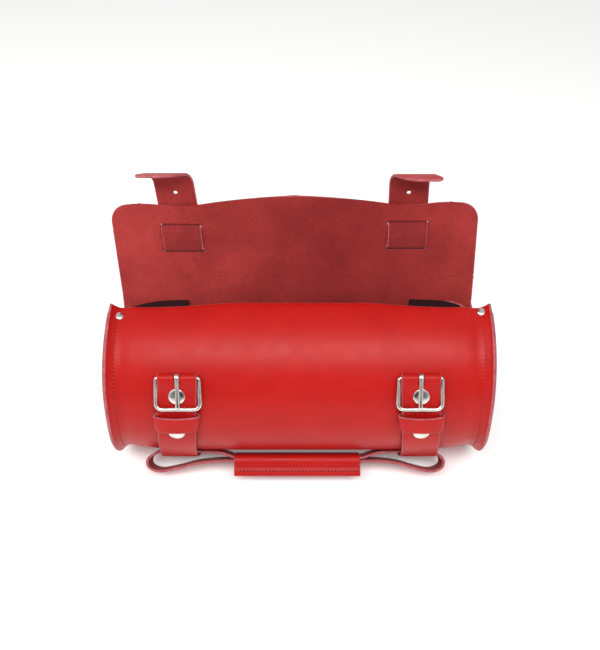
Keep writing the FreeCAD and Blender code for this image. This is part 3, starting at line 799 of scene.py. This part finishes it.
def make_belt(side_name, side):
    """One strip: the belt and its fold over the buckle's bar, slotted for the prong."""
    shift = Vector((side * BELT_X, 0, 0))
    path = [point + shift for point in belt_path(side)]
    belt = strap("belt_strip_" + side_name, path[::-1], BELT_WIDTH, BELT, 260)
    slot = (BAR + shift + upward(BAR_ANGLE) * 1.5 * MM,
            (Vector((2.1 * MM, 0, 0)), upward(BAR_ANGLE) * 6 * MM, outward(BAR_ANGLE) * 6 * MM))
    punch(belt, SQUARE, [slot])
    place(belt, "root", "belt_" + side_name)


def rounded_outline(corners, radii):
    """Points round a closed shape with rounded corners."""
    steps = 8
    points = []
    count = len(corners)
    for index, (corner, radius) in enumerate(zip(corners, radii)):
        before = (corners[index - 1] - corner).normalized()
        after = (corners[(index + 1) % count] - corner).normalized()
        start, end = corner + before * radius, corner + after * radius
        for step in range(steps + 1):
            t = step / steps
            points.append(start * (1 - t) ** 2 + corner * (2 * t * (1 - t)) + end * t * t)
    return points


def make_buckle(side_name, side):
    """The wire frame and the prong, curled round its bar."""
    middle = BAR + Vector((side * BELT_X, 0, 0))
    half_top = BELT_WIDTH / 2 + WIRE + 0.5 * MM
    half_bottom = half_top + 0.6 * MM

    def local(x, up, out):
        return middle + Vector((x, 0, 0)) + FRAME_UP * up + FRAME_OUT * out

    corners = [local(half_top, 0, 0), local(half_bottom, -FRAME_DROP, 0),
               local(-half_bottom, -FRAME_DROP, 0), local(-half_top, 0, 0)]
    outline = rounded_outline(corners, [1.9 * MM, 5.5 * MM, 5.5 * MM, 1.9 * MM])
    wire = tube("buckle_wire_" + side_name, outline, lambda share: WIRE, FRAME_OUT, closed=True)
    place(wire, "buckle_frame_" + side_name, "buckle_frame_" + side_name)
    curl = 2.75 * MM
    path = []
    for step in range(19):
        turn = math.radians(-150 + 240 * step / 18)
        path.append(local(0, curl * math.cos(turn), curl * math.sin(turn)))
    tip = local(0, -FRAME_DROP + 0.6 * MM, WIRE + 0.85 * MM)
    start = path[-1]
    steps = 16
    for step in range(1, steps + 1):
        share = step / steps
        arch = 0.5 * MM * math.sin(math.pi * share)
        path.append(start.lerp(tip, share) + FRAME_OUT * arch)

    def thickness(share):
        return (2.05 - 0.55 * smooth(share, 0.5, 0.58)) * MM

    prong = tube("prong_tongue_" + side_name, path, thickness, Vector((1, 0, 0)), deep=0.5)
    place(prong, "prong_" + side_name, "prong_" + side_name)


# Each is (angle, the belt's gap off the barrel there, the angle it faces).
STRAP_RIVETS = [(25.5, 2.75 * MM, 24.5), (0.3, 2.6 * MM, 0)]


def make_strap_rivets():
    """The large caps: the upper pair inside the buckles, the lower pair partly under the keepers."""
    seats = []
    for side in SIDES.values():
        for angle, gap, facing in STRAP_RIVETS:
            x = side * (BELT_X + belt_shift(angle))
            seats.append((around(angle, RADIUS + BELT + gap, x), outward(facing)))
    caps = dome("strap_rivet_caps", seats, 6.2 * MM, 0.5 * MM, 0.5 * MM)
    place(caps, "root", "strap_rivets")


def make_keeper(side_name, side):
    """A loop of leather round the belt, arched over its face."""
    low_angle, high_angle = 3.4, 12.9
    half = BELT_WIDTH / 2 + 2.0 * MM
    under = 1.2 * MM
    shoulder = 5.2 * MM
    crown = 8.0 * MM
    section = [Vector((x * half, under, 0)) for x in (-0.5, 0, 0.5, 0.88)]
    section += [Vector((half, (under + shoulder) / 2, 0)), Vector((half * 0.97, shoulder, 0))]
    for x in (0.8, 0.45, 0, -0.45, -0.8):
        section.append(Vector((x * half, shoulder + (crown - shoulder) * (1 - x * x) + 0.5 * MM, 0)))
    section += [Vector((-half * 0.97, shoulder, 0)), Vector((-half, (under + shoulder) / 2, 0)),
                Vector((-0.88 * half, under, 0)), Vector((-0.5 * half, under, 0))]
    count = 72
    line = smooth_path(section, count)

    def point(u, v):
        corner = line[round(v * count) % count]
        angle = high_angle + (low_angle - high_angle) * u
        flare = 1 + 0.06 * smooth(angle, low_angle, high_angle)
        return around(angle, RADIUS + corner.y, side * (BELT_X + belt_shift(angle)) + corner.x * flare)

    keeper = leather_sheet("keeper_loop_" + side_name, lambda u, v: point(1 - u, v), 12, count,
                           1.8 * MM, closed=True)
    place(keeper, "keeper_" + side_name, "keeper_" + side_name)


# --- Flap -----------------------------------------------------------------------------------------

SPLIT = FOLD_REACH / 2
FLAP_MIDDLE = LEATHER / 2


def flap_half(reach, top):
    """The flap's half width: a little narrower at its bend, with rounded corners at its free edge."""
    corner = 13 * MM
    over = max(0.0, reach - (top - corner))
    taper = 1.4 * MM * (1 - clamped(reach / FLAP_REACH))
    return FLAP_HALF - taper - corner + math.sqrt(max(0.0, corner * corner - over * over))


def flap_drift(reach):
    """The open flap leans a little to the left."""
    return -1.3 * MM - 2.2 * MM * max(0.0, reach) / FLAP_REACH


def strap_middle(side, reach):
    """Where a strap's middle crosses the flap, at a distance up from the hinge."""
    right_x, left_x = 80.4 * MM, -86.2 * MM
    if side > 0:
        return right_x
    return left_x - 4.2 * MM * max(0.0, reach - 43 * MM) / (35 * MM)


def flap_top(x):
    """The free edge: highest in the middle, lower at each strap, and a little higher to the right."""
    d = abs(x) / MM
    wave = 6.6 * bell(d, 0, 64) - 2.0 * bell(d, 90, 22) + 1.0 * bell(d, 122, 16) + 0.8 * x / HALF
    return FLAP_REACH + wave * MM


def flap_wave(x, reach):
    """Soft dents in the flap: it is drawn back at the straps and the corners, and full between."""
    d = abs(x) / MM
    rise = (reach / FLAP_REACH) ** 2
    return rise * (1.6 * bell(d, 90, 26) - 1.4 * bell(d, 0, 50) + 1.5 * bell(d, 138, 20)) * MM


def make_flap_base():
    """The bend: from the barrel's skin, over the hinge and up to the flap's lower half."""
    steps = 64
    bend = [around(BEND_ANGLE, RADIUS - FLAP_MIDDLE), around(BEND_ANGLE - 2.5, RADIUS - FLAP_MIDDLE),
            around(BEND_ANGLE - 5, RADIUS - FLAP_MIDDLE - 0.4 * MM), on_flap(-2.5 * MM, 4.6 * MM),
            on_flap(-7 * MM, 4.1 * MM), on_flap(-10.5 * MM, 3.7 * MM),
            on_flap(-12 * MM, FLAP_MIDDLE + 1.1 * MM)]
    bend += [on_flap(reach * MM, FLAP_MIDDLE) for reach in (-10.8, -7, -2, 4)]
    bend.append(on_flap(SPLIT, FLAP_MIDDLE))
    line = smooth_path(bend, steps)

    def point(u, v):
        x = spread(v)
        middle = line[round(u * steps)]
        reach = max(0.0, (middle - HINGE).dot(ALONG))
        half = flap_half(reach, FLAP_REACH)
        dent = flap_wave(FLAP_HALF * x, reach) * clamped(reach / SPLIT)
        return middle + Vector((half * x + flap_drift(reach), 0, 0)) + BACK * dent

    base = leather_sheet("flap_base", point, steps, 96, LEATHER)
    bridge(base, "flap_back")


def slit_places(side):
    """How far up the flap a strap's two slits are."""
    raised = 2.2 * MM if side > 0 else 0.0
    return 36.0 * MM + raised, 54.2 * MM + raised


def make_flap_leaf():
    """The flap above the bend, slit for the straps."""
    def point(u, v):
        x_share = spread(v)
        top = flap_top(FLAP_HALF * x_share)
        reach = SPLIT + (top - SPLIT) * math.sin(math.pi / 2 * u)
        x = flap_half(reach, top) * x_share
        behind = FLAP_MIDDLE + flap_wave(x, reach)
        return on_flap(reach, behind, x + flap_drift(reach))

    leaf = leather_sheet("flap_leaf", point, 60, 120, LEATHER)
    slits = []
    for side in SIDES.values():
        for reach in slit_places(side):
            slits.append((on_flap(reach, FLAP_MIDDLE, strap_middle(side, reach)),
                          (Vector((BELT_WIDTH / 2 + 1.0 * MM, 0, 0)), ALONG * 1.5 * MM, BACK * 6 * MM)))
    punch(leaf, SQUARE, slits)
    bridge(leaf, "flap_front")


BEHIND = LEATHER + BELT / 2 + 0.1 * MM
INSIDE = -BELT / 2 - 0.1 * MM
TIP_SPLIT = 66 * MM
BUCKLE_HOLE = 78.2 * MM


def make_flap_straps(side_name, side):
    """The strap behind the flap in three lengths: over the bend, through the slits, and the tip."""
    shift = Vector((side * BELT_X, 0, 0))

    def behind(reach, depth):
        settle = clamped(reach / SPLIT)
        x = side * BELT_X + (strap_middle(side, reach) - side * BELT_X) * settle
        return on_flap(reach, depth + flap_wave(BELT_X, reach), x)

    lower_path = [around(BEND_ANGLE + turn, RADIUS + BELT / 2) + shift for turn in (1, -3, -6.5)]
    lower_path += [behind(1.5 * MM, BEHIND + 1.6 * MM), behind(5 * MM, BEHIND + 0.2 * MM),
                   behind(9 * MM, BEHIND), behind(SPLIT, BEHIND)]
    lower = strap("strap_over_bend_" + side_name, lower_path, BELT_WIDTH, BELT, 40)
    bridge(lower, "flap_strap_lower_" + side_name)

    low, high = slit_places(side)
    route = [(SPLIT, BEHIND), (low - 4 * MM, BEHIND), (low - 1.2 * MM, BEHIND - 0.3 * MM),
             (low - 0.2 * MM, FLAP_MIDDLE + 1 * MM), (low + 0.2 * MM, FLAP_MIDDLE - 1 * MM),
             (low + 1.2 * MM, INSIDE + 0.3 * MM), (low + 4 * MM, INSIDE - 0.5 * MM),
             ((low + high) / 2, INSIDE - 1.3 * MM), (high - 4 * MM, INSIDE - 0.4 * MM),
             (high - 1.2 * MM, INSIDE + 0.3 * MM), (high - 0.2 * MM, FLAP_MIDDLE - 1 * MM),
             (high + 0.2 * MM, FLAP_MIDDLE + 1 * MM), (high + 1.2 * MM, BEHIND - 0.3 * MM),
             (high + 4 * MM, BEHIND), (TIP_SPLIT, BEHIND)]
    middle = strap("strap_through_slits_" + side_name, [behind(*stop) for stop in route],
                   BELT_WIDTH, BELT, 120, materials=[GRAIN, STRAP_FLESH, EDGE])
    bridge(middle, "flap_strap_upper_" + side_name)

    wave = flap_wave(BELT_X, TIP_SPLIT)
    steps = 48
    bend_start, bend_end, end = 82.7 * MM, 99 * MM, 112 * MM
    bend = math.radians(92 if side > 0 else 85)
    tip_path = [on_flap(TIP_SPLIT, BEHIND + wave, strap_middle(side, TIP_SPLIT))]
    for step in range(1, steps + 1):
        reach = TIP_SPLIT + (end - TIP_SPLIT) * step / steps
        turn = bend * clamped((reach - bend_start) / (bend_end - bend_start))
        go = ALONG * math.cos(turn) - BACK * math.sin(turn)
        drift = strap_middle(side, reach) - strap_middle(side, reach - (end - TIP_SPLIT) / steps)
        tip_path.append(tip_path[-1] + go * (end - TIP_SPLIT) / steps + Vector((drift, 0, 0)))

    def curl(u, centre, across):
        """The end swings outward and narrows to a blunt point."""
        bent = max(0.0, u - 0.45) / 0.55
        narrow = 1 - 0.45 * max(0.0, (bent - 0.7) / 0.3) ** 2
        return centre + across * narrow + Vector((side * 10 * MM * bent ** 1.5, 0, 0))

    tip = strap("strap_end_" + side_name, tip_path, BELT_WIDTH, BELT, 60, sideways=curl)
    hole = (on_flap(BUCKLE_HOLE, BEHIND + wave, strap_middle(side, BUCKLE_HOLE)),
            (Vector((1.6 * MM, 0, 0)), ALONG * 1.2 * MM, BACK * 5 * MM))
    punch(tip, ROUND, [hole])
    bridge(tip, "strap_tip_" + side_name)


# --- Handle ---------------------------------------------------------------------------------------

HANDLE_OUT = outward(-45)
HANDLE_ACROSS = Vector((1, 0, 0)).cross(HANDLE_OUT)
RIGHT_LOOP_DRAWN_IN = 6 * MM
# The left half of the handle strap's middle line: (place along the barrel, distance from its axis),
# in millimetres.
HANDLE_ROUTE = [
    (-36, 81.85), (-44, 81.85), (-53, 81.6), (-66, 81.6), (-84, 83.4), (-101, 87.6), (-115, 89.9),
    (-123.5, 86.6), (-124.5, 80.5), (-119.5, 75.9), (-112, 73.8), (-101, 73.7), (-88, 73.7),
    (-75, 73.9), (-66, 74.5), (-59, 76.4), (-52, 78.7), (-42, 79.1), (-28, 79.1),
]


def on_handle(x, radius, across):
    """A point by its place along the barrel, its distance from the axis, and across the strap."""
    return Vector((x, AXIS_Y, AXIS_Z)) + HANDLE_OUT * radius + HANDLE_ACROSS * across


def make_handle_strap():
    """One strip, looped round both belts, its ends back inside the grip, its right loop drawn in."""
    width = 20 * MM
    thickness = 2.2 * MM
    right = [(-x, y) for x, y in reversed(HANDLE_ROUTE)]
    route = HANDLE_ROUTE + [(0, HANDLE_ROUTE[-1][1])] + right
    count = 320
    line = smooth_path([Vector((x * MM, y * MM, 0)) for x, y in route], count)

    def point(u, v):
        middle = line[round(u * count)]
        pulled = clamped((middle.x / MM - 60) / 50)
        x = middle.x - RIGHT_LOOP_DRAWN_IN * pulled
        return on_handle(x, middle.y, width * (v - 0.5))

    handle = leather_sheet("handle_strip", point, count, 12, thickness)
    place(handle, "handle", "handle_strap")


# The grip's section: (distance from the barrel's axis, place across the strap), in millimetres.
GRIP_SECTION = [
    (93.2, -10.3), (91, -10.5), (88.2, -10.3), (86.2, -9.6), (84.9, -10.7), (82.5, -11.4),
    (79.5, -11.2), (77.4, -9.2), (76.9, -4), (76.9, 3), (77.4, 8.6), (79.5, 10.9), (82.3, 10.6),
    (84.1, 8), (84.5, 2), (84.6, -3), (85.2, -6.4), (87, -7.9), (90, -8.3), (93.2, -8.2),
]
GRIP_STITCH = 89.6 * MM
GRIP_MIDDLE = -1.6 * MM
GRIP_FACES = [(-11.5 * MM, -1), (-7.3 * MM, 1)]


def make_grip():
    """A strip of leather folded round the handle strap, its edges stitched face to face."""
    low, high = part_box("grip")
    half = (high[0] - low[0]) / 2 - 1.2 * MM
    count = 90
    line = smooth_path([Vector((r * MM, t * MM, 0)) for r, t in GRIP_SECTION], count)

    def point(u, v):
        middle = line[round(u * count)]
        return on_handle(GRIP_MIDDLE + half * (1 - 2 * v), middle.x, middle.y)

    grip = leather_sheet("grip_sleeve", point, count, 60, 1.9 * MM)
    place(grip, "handle", "grip")
    places = []
    holes = []
    pitch = 3.0 * MM
    hole_sink = 0.12 * MM
    along = Vector((1, 0, 0))
    reach = int((half - 3 * MM) / pitch)
    for step in range(-reach, reach + 1):
        for across, sign in GRIP_FACES:
            out = HANDLE_ACROSS * sign
            middle = on_handle(GRIP_MIDDLE + step * pitch, GRIP_STITCH, across)
            hole = on_handle(GRIP_MIDDLE + (step + 0.5) * pitch, GRIP_STITCH, across - hole_sink * sign)
            places.append((middle, along, out))
            holes.append((hole, along, out))
    stitches = stitch_row("grip_stitches", places, holes, 1.9 * MM, 0.36 * MM)
    place(stitches, "handle", "grip_stitching")


# --- Studio ---------------------------------------------------------------------------------------

CAMERA_RISE = 45
CAMERA_DISTANCE = 0.645
SENSOR_MM = 36
LENS_MM = 42.757
PICTURE_SHIFT = 0.05692


def make_camera():
    """Above and in front, square to the barrel, shifted so that the bag sits low in the picture."""
    data = bpy.data.cameras.new("camera")
    data.sensor_width = SENSOR_MM
    data.lens = LENS_MM
    data.shift_y = PICTURE_SHIFT
    data.clip_start = 0.01
    camera = bpy.data.objects.new("camera", data)
    bpy.context.scene.collection.objects.link(camera)
    target = Vector((0.0007, AXIS_Y, AXIS_Z))
    rise = math.radians(CAMERA_RISE)
    away = Vector((0, -math.cos(rise), math.sin(rise)))
    camera.location = target + away * CAMERA_DISTANCE
    camera.rotation_euler = away.to_track_quat("Z", "Y").to_euler()
    bpy.context.scene.camera = camera


def make_floor():
    """A wide white floor, with a faint glow of its own that lightens the shadows on it."""
    mesh = bpy.data.meshes.new("floor")
    half = 6
    corners = [(-half, -half, 0), (half, -half, 0), (half, half, 0), (-half, half, 0)]
    mesh.from_pydata(corners, [], [(0, 1, 2, 3)])
    floor = bpy.data.objects.new("floor", mesh)
    bpy.context.scene.collection.objects.link(floor)
    material, shader, _, _ = new_material("white_floor")
    shader.inputs["Base Color"].default_value = (0.91, 0.91, 0.905, 1)
    shader.inputs["Roughness"].default_value = 0.9
    shader.inputs["Specular IOR Level"].default_value = 0.1
    shader.inputs["Emission Color"].default_value = (1, 1, 1, 1)
    shader.inputs["Emission Strength"].default_value = 0.16
    mesh.materials.append(material)


def make_light(name, place_at, size, power, aim):
    """A rectangular lamp of a width and height in metres and a power in watts, turned to a point."""
    data = bpy.data.lights.new(name, "AREA")
    data.shape = "RECTANGLE"
    data.size, data.size_y = size
    data.energy = power
    light = bpy.data.objects.new(name, data)
    light.location = place_at
    light.rotation_euler = (Vector(place_at) - Vector(aim)).to_track_quat("Z", "Y").to_euler()
    bpy.context.scene.collection.objects.link(light)


def make_studio():
    """A white room, darker ahead of the bag, with a long soft box over the camera."""
    world = bpy.data.worlds.new("studio")
    world.use_nodes = True
    tree = world.node_tree
    background = tree.nodes["Background"]
    coords = tree.nodes.new("ShaderNodeTexCoord")
    backward = tree.nodes.new("ShaderNodeVectorMath")
    backward.operation = "DOT_PRODUCT"
    backward.inputs[1].default_value = (0, 0.9976, -0.07)
    ramp = tree.nodes.new("ShaderNodeValToRGB")
    shift = tree.nodes.new("ShaderNodeMapRange")
    shift.inputs["From Min"].default_value = -1
    tree.links.new(coords.outputs["Generated"], backward.inputs[0])
    tree.links.new(backward.outputs["Value"], shift.inputs["Value"])
    tree.links.new(shift.outputs["Result"], ramp.inputs["Fac"])
    tree.links.new(ramp.outputs["Color"], background.inputs["Color"])
    for element, (position, grey) in zip(ramp.color_ramp.elements, [(0.008, 0.04), (0.045, 1)]):
        element.position = position
        element.color = (grey, grey, grey, 1)
    background.inputs["Strength"].default_value = 0.58
    bpy.context.scene.world = world
    bpy.context.scene.view_settings.view_transform = "Standard"
    middle = (0, AXIS_Y, AXIS_Z)
    make_light("soft_box", (0.0, -0.62, 1.10), (1.5, 0.40), 16, middle)
    make_light("left_fill", (-1.3, -0.2, 0.9), (0.7, 0.7), 5, middle)


make_camera()
make_floor()
make_studio()
make_body_sheet()
make_corner_rivets()
make_strap_rivets()
make_flap_base()
make_flap_leaf()
make_handle_strap()
make_grip()
for each_name, each_side in SIDES.items():
    make_end_panel(each_name, each_side)
    make_ear(each_name, each_side)
    make_end_seam(each_name, each_side)
    make_belt(each_name, each_side)
    make_buckle(each_name, each_side)
    make_keeper(each_name, each_side)
    make_flap_straps(each_name, each_side)
